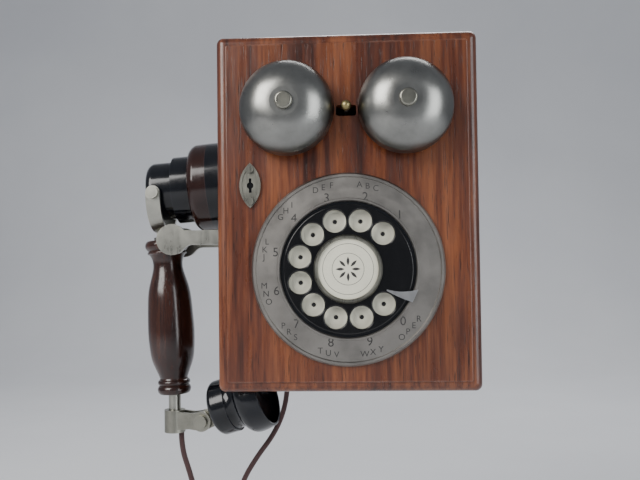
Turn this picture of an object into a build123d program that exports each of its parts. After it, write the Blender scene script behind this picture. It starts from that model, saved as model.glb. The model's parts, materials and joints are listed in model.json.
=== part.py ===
"""Wall telephone with a rotary dial, a pair of gongs and a hook-hung handset.

The origin is the centre of the wall face of the case. +X is to the right seen from the
front, +Y goes into the wall and +Z is up, so the door's front faces -Y. Millimetres.
"""

import math
import os

from build123d import *

# ---------------------------------------------------------------- driving dimensions
door_width, door_height, door_thick = 155, 212, 12
door_corner = 4  # radius of the door's corners
side_overhang, end_overhang = 12.5, 18  # the door stands this far past the case's sides and ends
door_rise = 1.2  # the door's middle is this much higher than the case's
case_depth = 78
wall = 8  # thickness of the wooden case panels
board = 5  # thickness of the back board
case_x = door_width / 2 - side_overhang  # outer half width of the case
case_z = door_height / 2 - end_overhang  # outer half height of the case
inner_x, inner_z = case_x - wall, case_z - wall
front_y = -(case_depth + door_thick)  # the door's front face
door_back_y = -case_depth

wall_screw_spacing, wall_screw_r = 144, 2.5

hinge_x, hinge_y = case_x + 4.4, door_back_y + 4.5  # the door's hinge line
hinge_z = (-62, 62)
hinge_long, knuckle_r, hinge_pin_r, leaf = 30, 2.9, 1.25, 1.0
fit = 0.05  # radial clearance of the running fits

dial_z = -33  # height of the dial's centre
ring_r, ring_bore_r = 56.4, 39.75
wheel_r, finger_hole_r, finger_circle_r = 38, 6.65, 29
finger_angles = [45 + 30 * i for i in range(10)]  # 1, 2 ... 9 and 0, from the right, anticlockwise
bezel_r, card_r = 20, 17.5
dial_shaft_r = 3
gear_teeth, pinion_teeth, tooth_module = 48, 12, 1
gear_r = gear_teeth * tooth_module / 2
pinion_r = pinion_teeth * tooth_module / 2
governor_z = dial_z - gear_r - pinion_r

gong_r, gong_x, gong_z, gong_high, gong_wall = 27.6, 34.4, 60.5, 18, 1.6
gong_rim_y = front_y - 7.5
gong_top_y = gong_rim_y - gong_high
clapper_z, clapper_ball_r, clapper_rod_r = 27, 3, 1.1
slot_wide, slot_high = 12, 6.5  # the clapper's slot in the door

plate_x, plate_z = -57, 17  # centre of the keyhole plate
hang_y = -45  # the plane that the hook and the handset hang in
hook_pivot_x, hook_z = -53, -11
arm_high, arm_thick = 9.1, 6
paddle_x, paddle_z, paddle_r = -111.6, -12.1, 9.8
tine_thick, tine_gap = 3, 29
hook_slot = (-18.8, -2.8)  # bottom and top of the slot that the hook arm moves in
hook_slot_wide = 8.4

receiver_x, receiver_z, receiver_tilt = -122, 17.2, 4  # the pivot of the receiver in its yoke
receiver_rise = 3.4  # the receiver's own axis passes this far above the pivot
dome_r, barrel_r, cap_r, receiver_bore_r = 18.7, 21.6, 28.5, 17
yoke_r, yoke_thick, yoke_wide = 23.5, 2.3, 9
yoke_pin_r = 1.6

handle_top, handle_foot = (-119.4, -11.9), (-114.6, -111.4)  # ends of the handle's axis in XZ
stem_r, clamp_r = 3.9, 6.7
clamp_top, clamp_foot = -122, -136.4
pivot_reach, pivot_z = 20.3, -128.5  # the transmitter's pivot, from the stem's axis
clamp_turn = 10  # the clamp is turned this far round the stem, towards the front
mouth_tilt, mouth_rise = 18, 4.5  # the transmitter's tilt, and how far its axis is above the pivot
ear_r, ear_thick, lug_thick, clamp_pin_r = 6.4, 2.2, 5.8, 2
cup_r, mouth_r = 17.6, 22

cord_r = 1.8
grommet_x, grommet_y = -43, -15
cord_route = [
    (-110.3, hang_y, clamp_foot),
    (-110.3, hang_y, -147),
    (-105, -44.7, -163),
    (-99.5, -43.5, -185),
    (-98, -42, -210),
    (-98.6, -40.5, -235),
    (-98.2, -39, -255),
    (-94, -36, -269.5),
    (-86.4, -29.6, -277.3),
    (-75.5, -22.7, -274.6),
    (-71, -18.9, -262),
    (-73.5, -18, -240),
    (-78, -17.5, -219),
    (-79.6, -17, -198),
    (-76, -16.5, -178),
    (-65.5, -16, -160.5),
    (-53, -15.5, -144.5),
    (-45.5, -15, -127.5),
    (grommet_x, grommet_y, -108),
    (grommet_x, grommet_y, -case_z - 2),
]

# ---------------------------------------------------------------- frames of the tilted parts
dial_axis = Axis((0, 0, dial_z), (0, 1, 0))
dial_section = Plane((0, 0, dial_z), x_dir=(1, 0, 0), z_dir=(0, 0, 1))  # x is the radius, y is Y


def tilted(origin, angle, plane=Plane.XZ):
    """The section plane and the axis of a turned part whose axis rises to the right by angle."""
    rise = math.radians(angle)
    along = plane.x_dir * math.cos(rise) + plane.y_dir * math.sin(rise)
    return Plane(origin, x_dir=along, z_dir=plane.z_dir), Axis(origin, along)


receiver_section, receiver_axis = tilted(
    (receiver_x, hang_y, receiver_z + receiver_rise), receiver_tilt
)
turn_cos = math.cos(math.radians(clamp_turn))
turn_sin = math.sin(math.radians(clamp_turn))
clamp_plane = Plane(
    (handle_foot[0], hang_y, 0), x_dir=(turn_cos, -turn_sin, 0), z_dir=(-turn_sin, -turn_cos, 0)
)
mouth_start_x = pivot_reach - mouth_rise * math.sin(math.radians(mouth_tilt))
mouth_start_z = pivot_z + mouth_rise * math.cos(math.radians(mouth_tilt))
mouth_section, mouth_axis = tilted(
    clamp_plane.from_local_coords((mouth_start_x, mouth_start_z, 0)), mouth_tilt, clamp_plane
)
handle_lean = math.degrees(
    math.atan2(handle_foot[1] - handle_top[1], handle_foot[0] - handle_top[0])
)
handle_section, handle_axis = tilted((handle_top[0], hang_y, handle_top[1]), handle_lean)
handle_long = math.dist(handle_top, handle_foot)


def facing(y):
    """A plane parallel to the door at that Y, facing the viewer."""
    return Plane.XZ.offset(-y)


def box(x, y, z):
    """A box between the two ends given for each axis."""
    low = [min(side) for side in (x, y, z)]
    high = [max(side) for side in (x, y, z)]
    size = [b - a for a, b in zip(low, high)]
    with Locations([tuple((a + b) / 2 for a, b in zip(low, high))]):
        Box(*size)


def rod(radius, start, end, mode=Mode.ADD):
    """A round bar from start to end."""
    reach = Vector(*end) - Vector(*start)
    with Locations(Plane(start, z_dir=reach)):
        Cylinder(radius, reach.length, align=(Align.CENTER, Align.CENTER, Align.MIN), mode=mode)


def save(piece, name):
    piece.part.label = name
    export_step(piece.part, f"parts/{name}.step")


# ---------------------------------------------------------------- the case
def case_side_left():
    with BuildPart() as case_side_left:
        box((-case_x, -inner_x), (door_back_y, 0), (-case_z, case_z))
        with BuildSketch(Plane.YZ.offset(-case_x)):
            with Locations((hang_y, sum(hook_slot) / 2)):
                Rectangle(hook_slot_wide, hook_slot[1] - hook_slot[0])
            with Locations([(hang_y, z) for z in hook_screw_z]):
                Circle(screw_r)
        extrude(amount=wall, mode=Mode.SUBTRACT)
    save(case_side_left, "case_side_left")


def case_side_right():
    with BuildPart() as case_side_right:
        box((inner_x, case_x), (door_back_y, 0), (-case_z, case_z))
        with BuildSketch(Plane.YZ.offset(case_x)):
            with Locations([(leaf_screw_y, z) for z in leaf_screw_z]):
                Circle(screw_r)
        extrude(amount=-leaf_screw_deep, mode=Mode.SUBTRACT)
    save(case_side_right, "case_side_right")


def case_ends():
    with BuildPart() as case_top:
        box((-inner_x, inner_x), (door_back_y, 0), (inner_z, case_z))
    save(case_top, "case_top")
    with BuildPart() as case_bottom:
        box((-inner_x, inner_x), (door_back_y, 0), (-case_z, -inner_z))
        with BuildSketch(Plane.XY.offset(-case_z)):
            with Locations((grommet_x, grommet_y)):
                Circle(grommet_r)
        extrude(amount=wall, mode=Mode.SUBTRACT)
    save(case_bottom, "case_bottom")


def back_board():
    with BuildPart() as back_board:
        box((-inner_x, inner_x), (-board, 0), (-inner_z, inner_z))
        with BuildSketch(facing(0)):
            with GridLocations(0, wall_screw_spacing, 1, 2):
                Circle(wall_screw_r)
        extrude(amount=board, mode=Mode.SUBTRACT)
    save(back_board, "back_board")


grommet_r = 4


def cord_grommet():
    with BuildPart() as cord_grommet:
        with BuildSketch(Plane.XY.offset(-case_z - 2)):
            with Locations((grommet_x, grommet_y)):
                Circle(grommet_r + 2)
        extrude(amount=2)
        with BuildSketch(Plane.XY.offset(-case_z)):
            with Locations((grommet_x, grommet_y)):
                Circle(grommet_r)
        extrude(amount=wall)
        with BuildSketch(Plane.XY.offset(-inner_z)):
            with Locations((grommet_x, grommet_y)):
                Circle(grommet_r + 1.5)
        extrude(amount=1.5)
        fillet(cord_grommet.edges().group_by(Axis.Z)[0], 1)
    save(cord_grommet, "cord_grommet")


# ---------------------------------------------------------------- hinges, screws and catch
screw_r = 1.5
leaf_screw_y = hinge_y + 12
leaf_screw_z = [z + side for z in hinge_z for side in (-9, 9)]
leaf_screw_deep = 6
hook_screw_z = (-26.5, 1.5)
knuckle_gap = 0.3
knuckle_long = (hinge_long - 2 * knuckle_gap) / 3


def hinges():
    """Two butt hinges beside the case, behind the door's overhang."""
    step = knuckle_long + knuckle_gap
    with BuildPart() as hinge_case_leaves:
        for z in hinge_z:
            box((case_x, case_x + leaf), (hinge_y - 2, hinge_y + 16), (z - 15, z + 15))
            for side in (-step, step):
                ends = (z + side - knuckle_long / 2, z + side + knuckle_long / 2)
                box((case_x, hinge_x), (hinge_y, hinge_y + knuckle_r), ends)
                rod(knuckle_r, (hinge_x, hinge_y, ends[0]), (hinge_x, hinge_y, ends[1]))
            bore = (hinge_x, hinge_y, z - 15), (hinge_x, hinge_y, z + 15)
            rod(hinge_pin_r, *bore, mode=Mode.SUBTRACT)
        with BuildSketch(Plane.YZ.offset(case_x)):
            with Locations([(leaf_screw_y, z) for z in leaf_screw_z]):
                Circle(screw_r)
        extrude(amount=leaf, mode=Mode.SUBTRACT)
    save(hinge_case_leaves, "hinge_case_leaves")

    door_edge = door_width / 2 - 0.5
    with BuildPart() as hinge_door_leaves:
        for z in hinge_z:
            ends = (z - knuckle_long / 2, z + knuckle_long / 2)
            box((hinge_x, door_edge), (door_back_y, door_back_y + 1.2), (z - 15, z + 15))
            box((hinge_x, hinge_x + knuckle_r), (door_back_y, hinge_y), ends)
            rod(knuckle_r, (hinge_x, hinge_y, ends[0]), (hinge_x, hinge_y, ends[1]))
            bore = (hinge_x, hinge_y, ends[0]), (hinge_x, hinge_y, ends[1])
            rod(hinge_pin_r + fit, *bore, mode=Mode.SUBTRACT)
    save(hinge_door_leaves, "hinge_door_leaves")

    with BuildPart() as hinge_pins:
        for z in hinge_z:
            rod(hinge_pin_r, (hinge_x, hinge_y, z - 15), (hinge_x, hinge_y, z + 15))
            for end, out in ((z - 15, -1.5), (z + 15, 1.5)):
                rod(hinge_pin_r + 0.8, (hinge_x, hinge_y, end), (hinge_x, hinge_y, end + out))
    save(hinge_pins, "hinge_pins")


def case_screws():
    """Round-headed screws of the hinge leaves and of the hook's slot plate and bracket."""
    head_r, head_high = 2.8, 1.4
    with BuildPart() as case_screws:
        for z in leaf_screw_z:
            under = (case_x + leaf, leaf_screw_y, z)
            rod(screw_r, (case_x - leaf_screw_deep, leaf_screw_y, z), under)
            rod(head_r, under, (under[0] + head_high, leaf_screw_y, z))
        for z in hook_screw_z:
            under = (-case_x - slot_plate_thick, hang_y, z)
            rod(screw_r, (bracket_x, hang_y, z), under)
            rod(head_r, under, (under[0] - head_high, hang_y, z))
    save(case_screws, "case_screws")


def door_catch():
    """A magnet inside the case and its steel keeper on the door."""
    side, low, high = -inner_x, -78, -62
    with BuildPart() as door_catch_magnet:
        box((side, side + 10), (door_back_y + 1.1, door_back_y + 12), (low, high))
        fillet(door_catch_magnet.edges().filter_by(Axis.Z).group_by(Axis.X)[-1], 1)
    save(door_catch_magnet, "door_catch_magnet")
    with BuildPart() as catch_keeper:
        box((side + 1, side + 9), (door_back_y, door_back_y + 0.8), (low + 1, high - 1))
    save(catch_keeper, "catch_keeper")


# ---------------------------------------------------------------- the hook
slot_plate_thick = 1
bracket_thick = 1.2
bracket_x = -inner_x + bracket_thick
cheek_gap, cheek_thick = 8.4, 1.5


def hook_slot_plate():
    middle = sum(hook_slot) / 2
    with BuildPart() as hook_slot_plate:
        with BuildSketch(Plane.YZ.offset(-case_x - slot_plate_thick)):
            with Locations((hang_y, sum(hook_screw_z) / 2)):
                RectangleRounded(16, 36, 5)
            with Locations((hang_y, middle)):
                Rectangle(hook_slot_wide, hook_slot[1] - hook_slot[0], mode=Mode.SUBTRACT)
            with Locations([(hang_y, z) for z in hook_screw_z]):
                Circle(screw_r, mode=Mode.SUBTRACT)
        extrude(amount=slot_plate_thick)
    save(hook_slot_plate, "hook_slot_plate")


def hook_bracket():
    """Inside the left wall: a plate with two cheeks that carry the hook's pivot pin."""
    middle = sum(hook_slot) / 2
    with BuildPart() as hook_bracket:
        with BuildSketch(Plane.YZ.offset(-inner_x)):
            with Locations((hang_y, sum(hook_screw_z) / 2)):
                RectangleRounded(20, 36, 3)
            with Locations((hang_y, middle)):
                Rectangle(hook_slot_wide, hook_slot[1] - hook_slot[0], mode=Mode.SUBTRACT)
            with Locations([(hang_y, z) for z in hook_screw_z]):
                Circle(screw_r, mode=Mode.SUBTRACT)
        extrude(amount=bracket_thick)
        for face in (hang_y - cheek_gap / 2 - cheek_thick, hang_y + cheek_gap / 2):
            with BuildSketch(facing(face + cheek_thick)):
                with Locations((hook_pivot_x, hook_z)):
                    Circle(3)
                with Locations(((hook_pivot_x - inner_x) / 2, hook_z)):
                    Rectangle(inner_x + hook_pivot_x, 6)
                with Locations((hook_pivot_x, hook_z)):
                    Circle(1.5, mode=Mode.SUBTRACT)
            extrude(amount=cheek_thick)
    save(hook_bracket, "hook_bracket")

    with BuildPart() as hook_pivot_pin:
        rod(1.5, (hook_pivot_x, hang_y - 8, hook_z), (hook_pivot_x, hang_y + 8, hook_z))
        rod(2.4, (hook_pivot_x, hang_y - 8, hook_z), (hook_pivot_x, hang_y - 9.2, hook_z))
    save(hook_pivot_pin, "hook_pivot_pin")


def hook_fork():
    """The switch hook: an arm through the case wall, a cross bar and two tines with round ends."""
    cross_x = -79
    half = tine_gap / 2
    arm_z = (hook_z - arm_high / 2, hook_z + arm_high / 2)
    with BuildPart() as hook_fork:
        box((cross_x, hook_pivot_x + 6.5), (hang_y - arm_thick / 2, hang_y + arm_thick / 2), arm_z)
        outer = half + tine_thick
        box((cross_x, cross_x + 4.5), (hang_y - outer, hang_y + outer), arm_z)
        for face in (hang_y - half, hang_y + outer):
            with BuildSketch(facing(face)) as tine:
                with Locations((paddle_x, paddle_z)):
                    Circle(paddle_r)
                with Locations(((paddle_x + cross_x + 2) / 2, hook_z)):
                    Rectangle(cross_x + 2 - paddle_x, arm_high)
                fillet(tine.vertices().group_by(Axis.X)[1:-1], 7)
            extrude(amount=tine_thick)
        box(
            (hook_pivot_x + 3.5, hook_pivot_x + 6.5),
            (hang_y + arm_thick / 2 - 1, tail_y[1]),
            (hook_z - 2.4, hook_z + 2.4),
        )
        box((hook_pivot_x + 3.5, -30), tail_y, (hook_z - 2.4, hook_z + 2.4))
        bore = (hook_pivot_x, hang_y - 5, hook_z), (hook_pivot_x, hang_y + 5, hook_z)
        rod(1.5 + fit, *bore, mode=Mode.SUBTRACT)
    save(hook_fork, "hook_fork")


tail_y = (-34, -30)  # the hook's tail runs behind the dial
spring_x = (-44, -14)
spring_thick, insulator_thick = 0.5, 2


def contact_pile():
    """Three contact springs above the hook's tail, clamped between insulators."""
    pitch = spring_thick + insulator_thick
    foot = hook_z + 6
    with BuildPart() as contact_springs:
        for i in range(3):
            low = foot + i * pitch
            box(spring_x, (tail_y[0] - 1, tail_y[1] + 1), (low, low + spring_thick))
    save(contact_springs, "contact_springs")
    with BuildPart() as contact_insulators:
        for i in range(4):
            high = foot + i * pitch
            tail_x = (spring_x[1] - 9, spring_x[1] + 1)
            box(tail_x, (tail_y[0] - 2, -board), (high - insulator_thick, high))
    save(contact_insulators, "contact_insulators")


# ---------------------------------------------------------------- electrical parts in the case
def electrical_parts():
    with BuildPart() as terminal_block:
        box((-6, 46), (-board - 10, -board), (-14, 0))
        with BuildSketch(facing(-board - 10)):
            with Locations((20, -7)):
                with GridLocations(10, 0, 5, 1):
                    Circle(2.6)
        extrude(amount=2)
        fillet(terminal_block.faces().sort_by(Axis.Y)[5:].edges().filter_by(Axis.Z), 0.8)
    save(terminal_block, "terminal_block")

    middle = (28, -42)
    with BuildPart() as transformer_core:
        box((middle[0] - 17, middle[0] + 17), (-board - 18, -board), (middle[1] - 15, middle[1] + 15))
        for side in (-1, 1):
            window = sorted((middle[0] + side * 5, middle[0] + side * 11.5))
            with BuildSketch(facing(-board)):
                with Locations((sum(window) / 2, middle[1])):
                    Rectangle(window[1] - window[0], 20)
            extrude(amount=18, mode=Mode.SUBTRACT)
    save(transformer_core, "transformer_core")
    with BuildPart() as transformer_winding:
        with BuildSketch(facing(-board - 1)):
            with Locations(middle):
                Rectangle(22, 19)
                Rectangle(10, 19, mode=Mode.SUBTRACT)
        extrude(amount=16)
    save(transformer_winding, "transformer_winding")

    with BuildPart() as capacitor:
        rod(8, (-24, -board - 8, -72), (-24, -board - 8, -40))
        for end in (-73.5, -40):
            rod(1, (-24, -board - 8, end), (-24, -board - 8, end + 1.5))
    save(capacitor, "capacitor")


# ---------------------------------------------------------------- the door and its fittings
def door_panel():
    """Front board with a rounded edge, a small step and a raised field."""
    step_in, step_high = 6, 1.2
    with BuildPart() as door_panel:
        with BuildSketch(facing(door_back_y)):
            with Locations((0, door_rise)):
                RectangleRounded(door_width, door_height, door_corner)
        extrude(amount=door_thick - step_high)
        fillet(door_panel.faces().sort_by(Axis.Y)[0].edges(), 5)
        with BuildSketch(facing(front_y + step_high)):
            with Locations((0, door_rise)):
                RectangleRounded(door_width - 2 * step_in, door_height - 2 * step_in, 1.5)
        extrude(amount=step_high)
        fillet(door_panel.faces().sort_by(Axis.Y)[0].edges(), 0.7)
        with BuildSketch(facing(door_back_y)):
            with Locations((0, dial_z)):
                Circle(ring_bore_r)
            with Locations((0, gong_z)):
                RectangleRounded(slot_wide, slot_high, 1.5)
            with Locations((-gong_x, gong_z), (gong_x, gong_z)):
                Circle(gong_bolt_r)
        extrude(amount=door_thick, mode=Mode.SUBTRACT)
    save(door_panel, "door_panel")


def keyhole_plate():
    """A pointed oval plate with a raised rim, a keyhole and two slotted screws."""
    tall, wide, thick, screw_at, head_r = 26.6, 12.5, 1.6, 9.4, 2.1
    round_r = (tall**2 + wide**2) / (4 * wide)  # radius of each of the two arcs of the outline
    reach = round_r - wide / 2
    with BuildPart() as keyhole_escutcheon:
        with BuildSketch(facing(front_y)):
            with Locations((plate_x - reach, plate_z)):
                Circle(round_r)
            with Locations((plate_x + reach, plate_z)):
                Circle(round_r, mode=Mode.INTERSECT)
        extrude(amount=thick)
        with BuildSketch(facing(front_y - thick)):
            with Locations((plate_x - reach, plate_z)):
                Circle(round_r - 1.3)
            with Locations((plate_x + reach, plate_z)):
                Circle(round_r - 1.3, mode=Mode.INTERSECT)
        extrude(amount=-0.5, mode=Mode.SUBTRACT)
        with BuildSketch(facing(front_y)):
            with Locations((plate_x, plate_z)):
                Circle(2)
                Rectangle(1.7, 8.5)
            with Locations((plate_x, plate_z - screw_at), (plate_x, plate_z + screw_at)):
                Circle(1)
        extrude(amount=thick, mode=Mode.SUBTRACT)
    save(keyhole_escutcheon, "keyhole_escutcheon")
    with BuildPart() as escutcheon_screws:
        for z in (plate_z - screw_at, plate_z + screw_at):
            top = front_y - thick
            rod(1, (plate_x, front_y, z), (plate_x, top, z))
            rod(head_r, (plate_x, top, z), (plate_x, top - 1, z))
    save(escutcheon_screws, "escutcheon_screws")


gong_bolt_r = 2.5


def gongs():
    """Two gongs, each on a post, held by a round-headed screw through the post and the door."""
    for name, x in (("gong_left", -gong_x), ("gong_right", gong_x)):
        section = Plane((x, 0, gong_z), x_dir=(1, 0, 0), z_dir=(0, 0, 1))
        with BuildPart() as gong:
            with BuildSketch(section):
                with BuildLine():
                    outer = Line((gong_bolt_r, gong_top_y), (8, gong_top_y))
                    middle, low = (20.6, gong_top_y + 5), (gong_r - 0.8, gong_top_y + 13)
                    dome = ThreePointArc(outer @ 1, middle, low)
                    skirt = Line(dome @ 1, (gong_r, gong_rim_y))
                    rim = Line(skirt @ 1, (gong_r - gong_wall, gong_rim_y))
                    inside = Line(rim @ 1, (gong_r - 0.8 - gong_wall, gong_top_y + 13))
                    hollow = ThreePointArc(
                        inside @ 1, (19.4, gong_top_y + 6.2), (8, gong_top_y + gong_wall)
                    )
                    flat = Line(hollow @ 1, (gong_bolt_r, gong_top_y + gong_wall))
                    Line(flat @ 1, outer @ 0)
                make_face()
            revolve(axis=Axis((x, 0, gong_z), (0, 1, 0)))
        save(gong, name)

    under = gong_top_y + gong_wall
    with BuildPart() as gong_posts:
        for x in (-gong_x, gong_x):
            rod(6.5, (x, front_y, gong_z), (x, front_y - 1.5, gong_z))
            rod(3.8, (x, front_y - 1.5, gong_z), (x, under, gong_z))
            rod(gong_bolt_r, (x, front_y, gong_z), (x, under, gong_z), mode=Mode.SUBTRACT)
    save(gong_posts, "gong_posts")
    with BuildPart() as gong_screws:
        for x in (-gong_x, gong_x):
            rod(gong_bolt_r, (x, door_back_y + 3, gong_z), (x, gong_top_y, gong_z))
            rod(5, (x, gong_top_y, gong_z), (x, gong_top_y - 2.4, gong_z))
            rod(4.5, (x, door_back_y, gong_z), (x, door_back_y + 3, gong_z))
        heads = gong_screws.faces().filter_by(Axis.Y).sort_by(Axis.Y)[:2]
        fillet(heads.edges(), 1.2)
    save(gong_screws, "gong_screws")


# ---------------------------------------------------------------- the ringer behind the door
ringer_plate = 1.5
coil_x, coil_y = 16, -65.5


def ringer():
    plate_y = door_back_y + ringer_plate
    with BuildPart() as ringer_frame:
        box((-27, 27), (door_back_y, plate_y), (18, 74))
        with BuildSketch(facing(door_back_y)):
            with Locations((0, gong_z)):
                Rectangle(slot_wide, slot_high)
            with Locations((-gong_x, gong_z), (gong_x, gong_z)):
                Circle(12)
        extrude(amount=-ringer_plate, mode=Mode.SUBTRACT)
        rod(1.5, (0, plate_y, clapper_z), (0, -66, clapper_z))
        rod(3, (0, plate_y, clapper_z), (0, plate_y + 1, clapper_z))
    save(ringer_frame, "ringer_frame")

    with BuildPart() as ringer_core:
        for x in (-coil_x, coil_x):
            rod(3, (x, coil_y, 32.5), (x, coil_y, 66))
        box((-21, 21), (plate_y, -61), (66, 70))
    save(ringer_core, "ringer_core")

    with BuildPart() as ringer_coils:
        for x in (-coil_x, coil_x):
            for low, high, radius in ((36, 37.5, 9), (37.5, 60.5, 8), (60.5, 62, 9)):
                rod(radius, (x, coil_y, low), (x, coil_y, high))
            rod(3, (x, coil_y, 36), (x, coil_y, 62), mode=Mode.SUBTRACT)
    save(ringer_coils, "ringer_coils")

    rod_y = -72
    ball_y = gong_rim_y - 4
    with BuildPart() as clapper_armature:
        box((-20, 20), (-75, -69), (clapper_z - 2.5, clapper_z + 2.5))
        rod(clapper_rod_r, (0, rod_y, clapper_z), (0, rod_y, gong_z))
        rod(clapper_rod_r, (0, rod_y + clapper_rod_r, gong_z), (0, ball_y, gong_z))
        rod(1.5 + fit, (0, -76, clapper_z), (0, -65, clapper_z), mode=Mode.SUBTRACT)
        with Locations((0, ball_y, gong_z)):
            Sphere(clapper_ball_r, mode=Mode.SUBTRACT)
    save(clapper_armature, "clapper_armature")
    with BuildPart() as clapper_ball:
        with Locations((0, ball_y, gong_z)):
            Sphere(clapper_ball_r)
    save(clapper_ball, "clapper_ball")


# ---------------------------------------------------------------- the dial
wheel_back_y, wheel_front_y = front_y - 1.4, front_y - 3.4
face_y = front_y + 2.6  # front of the plate seen through the finger holes
cup_floor = (-53, -50)
gear_y = (-61, -59)
number_ring_top = front_y - 3.1


def number_ring():
    flat_y, lip_y = front_y - 2.2, number_ring_top + 0.1
    with BuildPart() as number_ring:
        with BuildSketch(dial_section):
            with BuildLine():
                Polyline(
                    (ring_bore_r, front_y),
                    (ring_r, front_y),
                    (ring_r, front_y - 1.8),
                    (ring_r - 1, lip_y),
                    (ring_r - 2.2, lip_y),
                    (ring_r - 2.8, flat_y),
                    (ring_bore_r + 1.9, flat_y - 0.5),
                    (ring_bore_r + 1.5, lip_y - 0.1),
                    (ring_bore_r + 0.6, lip_y - 0.1),
                    (ring_bore_r, lip_y + 0.6),
                    close=True,
                )
            make_face()
        revolve(axis=dial_axis)
    save(number_ring, "number_ring")


def dial_housing():
    """The cup that the dial turns in, and the plate that shows through the finger holes."""
    outer, thin = ring_bore_r - 0.15, 1.5
    rim_y = front_y - 0.6
    with BuildPart() as dial_cup:
        with BuildSketch(dial_section):
            with BuildLine():
                Polyline(
                    (dial_shaft_r + fit, cup_floor[1]),
                    (outer, cup_floor[1]),
                    (outer, rim_y),
                    (outer - thin, rim_y),
                    (outer - thin, cup_floor[0]),
                    (dial_shaft_r + fit, cup_floor[0]),
                    close=True,
                )
            make_face()
        revolve(axis=dial_axis)
        bearing = (0, cup_floor[0], governor_z), (0, cup_floor[1], governor_z)
        rod(1.5 + fit, *bearing, mode=Mode.SUBTRACT)
    save(dial_cup, "dial_cup")
    with BuildPart() as dial_face:
        with BuildSketch(facing(face_y + 1.4)):
            with Locations((0, dial_z)):
                Circle(outer - thin)
                Circle(6, mode=Mode.SUBTRACT)
        extrude(amount=1.4)
    save(dial_face, "dial_face")


def finger_wheel():
    with BuildPart() as finger_wheel:
        with BuildSketch(facing(wheel_back_y)):
            with Locations((0, dial_z)):
                Circle(wheel_r)
                Circle(dial_shaft_r, mode=Mode.SUBTRACT)
                for angle in finger_angles:
                    with PolarLocations(finger_circle_r, 1, start_angle=angle):
                        Circle(finger_hole_r, mode=Mode.SUBTRACT)
        extrude(amount=wheel_back_y - wheel_front_y)
        fillet(finger_wheel.faces().sort_by(Axis.Y)[0].edges(), 0.8)
    save(finger_wheel, "finger_wheel")


def dial_hub():
    front = wheel_front_y
    with BuildPart() as hub_bezel:
        with BuildSketch(dial_section):
            with BuildLine():
                Polyline(
                    (card_r, front), (bezel_r, front), (bezel_r, front - 1.6),
                    (bezel_r - 0.9, front - 2.8), (card_r + 0.5, front - 2.8), (card_r, front - 2.3),
                    close=True,
                )
            make_face()
        revolve(axis=dial_axis)
    save(hub_bezel, "hub_bezel")
    with BuildPart() as number_card:
        with BuildSketch(facing(front)):
            with Locations((0, dial_z)):
                Circle(card_r)
        extrude(amount=1.3)
    save(number_card, "number_card")
    with BuildPart() as dial_shaft:
        rod(dial_shaft_r, (0, wheel_front_y, dial_z), (0, cup_floor[1] + 2, dial_z))
        rod(5, (0, -82, dial_z), (0, -80, dial_z))
    save(dial_shaft, "dial_shaft")
    with BuildPart() as main_spring:
        with BuildSketch(facing(-66)):
            with Locations((0, dial_z)):
                Circle(15)
                Circle(dial_shaft_r, mode=Mode.SUBTRACT)
        extrude(amount=6)
    save(main_spring, "main_spring")


def toothed_wheel(teeth, centre, bore_r, turned_by):
    """A spur wheel's outline with straight-sided teeth, thinner than the gaps between them."""
    pitch_r = teeth * tooth_module / 2
    root, tip = pitch_r - 0.95 * tooth_module, pitch_r + 0.7 * tooth_module
    pitch = math.pi * tooth_module
    foot_half, tip_half = 0.27 * pitch, 0.1 * pitch
    with Locations(centre):
        Circle(root)
        with PolarLocations(0, teeth, start_angle=turned_by):
            Polygon(
                (root - 0.4, -foot_half),
                (tip, -tip_half),
                (tip, tip_half),
                (root - 0.4, foot_half),
                align=None,
            )
        Circle(bore_r, mode=Mode.SUBTRACT)


def dial_gears():
    """The main gear on the dial's shaft, and the governor that its pinion drives."""
    with BuildPart() as main_gear:
        with BuildSketch(facing(gear_y[1])):
            toothed_wheel(gear_teeth, (0, dial_z), dial_shaft_r, 90)
        extrude(amount=gear_y[1] - gear_y[0])
    save(main_gear, "main_gear")
    with BuildPart() as governor_spindle:
        with BuildSketch(facing(gear_y[1] + 0.5)):
            toothed_wheel(pinion_teeth, (0, governor_z), 0.5, 90 + 180 / pinion_teeth)
        extrude(amount=gear_y[1] - gear_y[0] + 1)
        rod(1.5, (0, cup_floor[1] + 1, governor_z), (0, -76, governor_z))
        rod(2.5, (0, -66, governor_z), (0, -68, governor_z))
        for side in (-1, 1):
            low, high = sorted((side * 2, side * 5.5))
            box((low, high), (-74, -68), (governor_z - 2, governor_z + 2))
        box((-2.5, 2.5), (-69, -68), (governor_z - 2, governor_z + 2))
    save(governor_spindle, "governor_spindle")


def finger_stop():
    """A claw from the number ring in over the finger wheel, wide at the ring, pointed inside."""
    over_y = wheel_front_y - 0.6

    def at(radius, angle):
        turn = math.radians(angle)
        return (radius * math.cos(turn), dial_z + radius * math.sin(turn))

    with BuildPart() as finger_stop:
        with BuildSketch(facing(over_y)):
            with BuildLine():
                upper = ThreePointArc(at(42, -17), at(33.5, -23.6), at(25.3, -28.4))
                tip = Line(upper @ 1, at(25.3, -30))
                lower = ThreePointArc(tip @ 1, at(33, -29.6), at(41.6, -28))
                Line(lower @ 1, upper @ 0)
            make_face()
        extrude(amount=1.2)
        with BuildSketch(facing(number_ring_top)):
            with Locations(Location(at(41, -22.6))):
                Rectangle(1, 4, rotation=-22.6)
        extrude(amount=number_ring_top - over_y + 0.6)
    save(finger_stop, "finger_stop")


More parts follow.
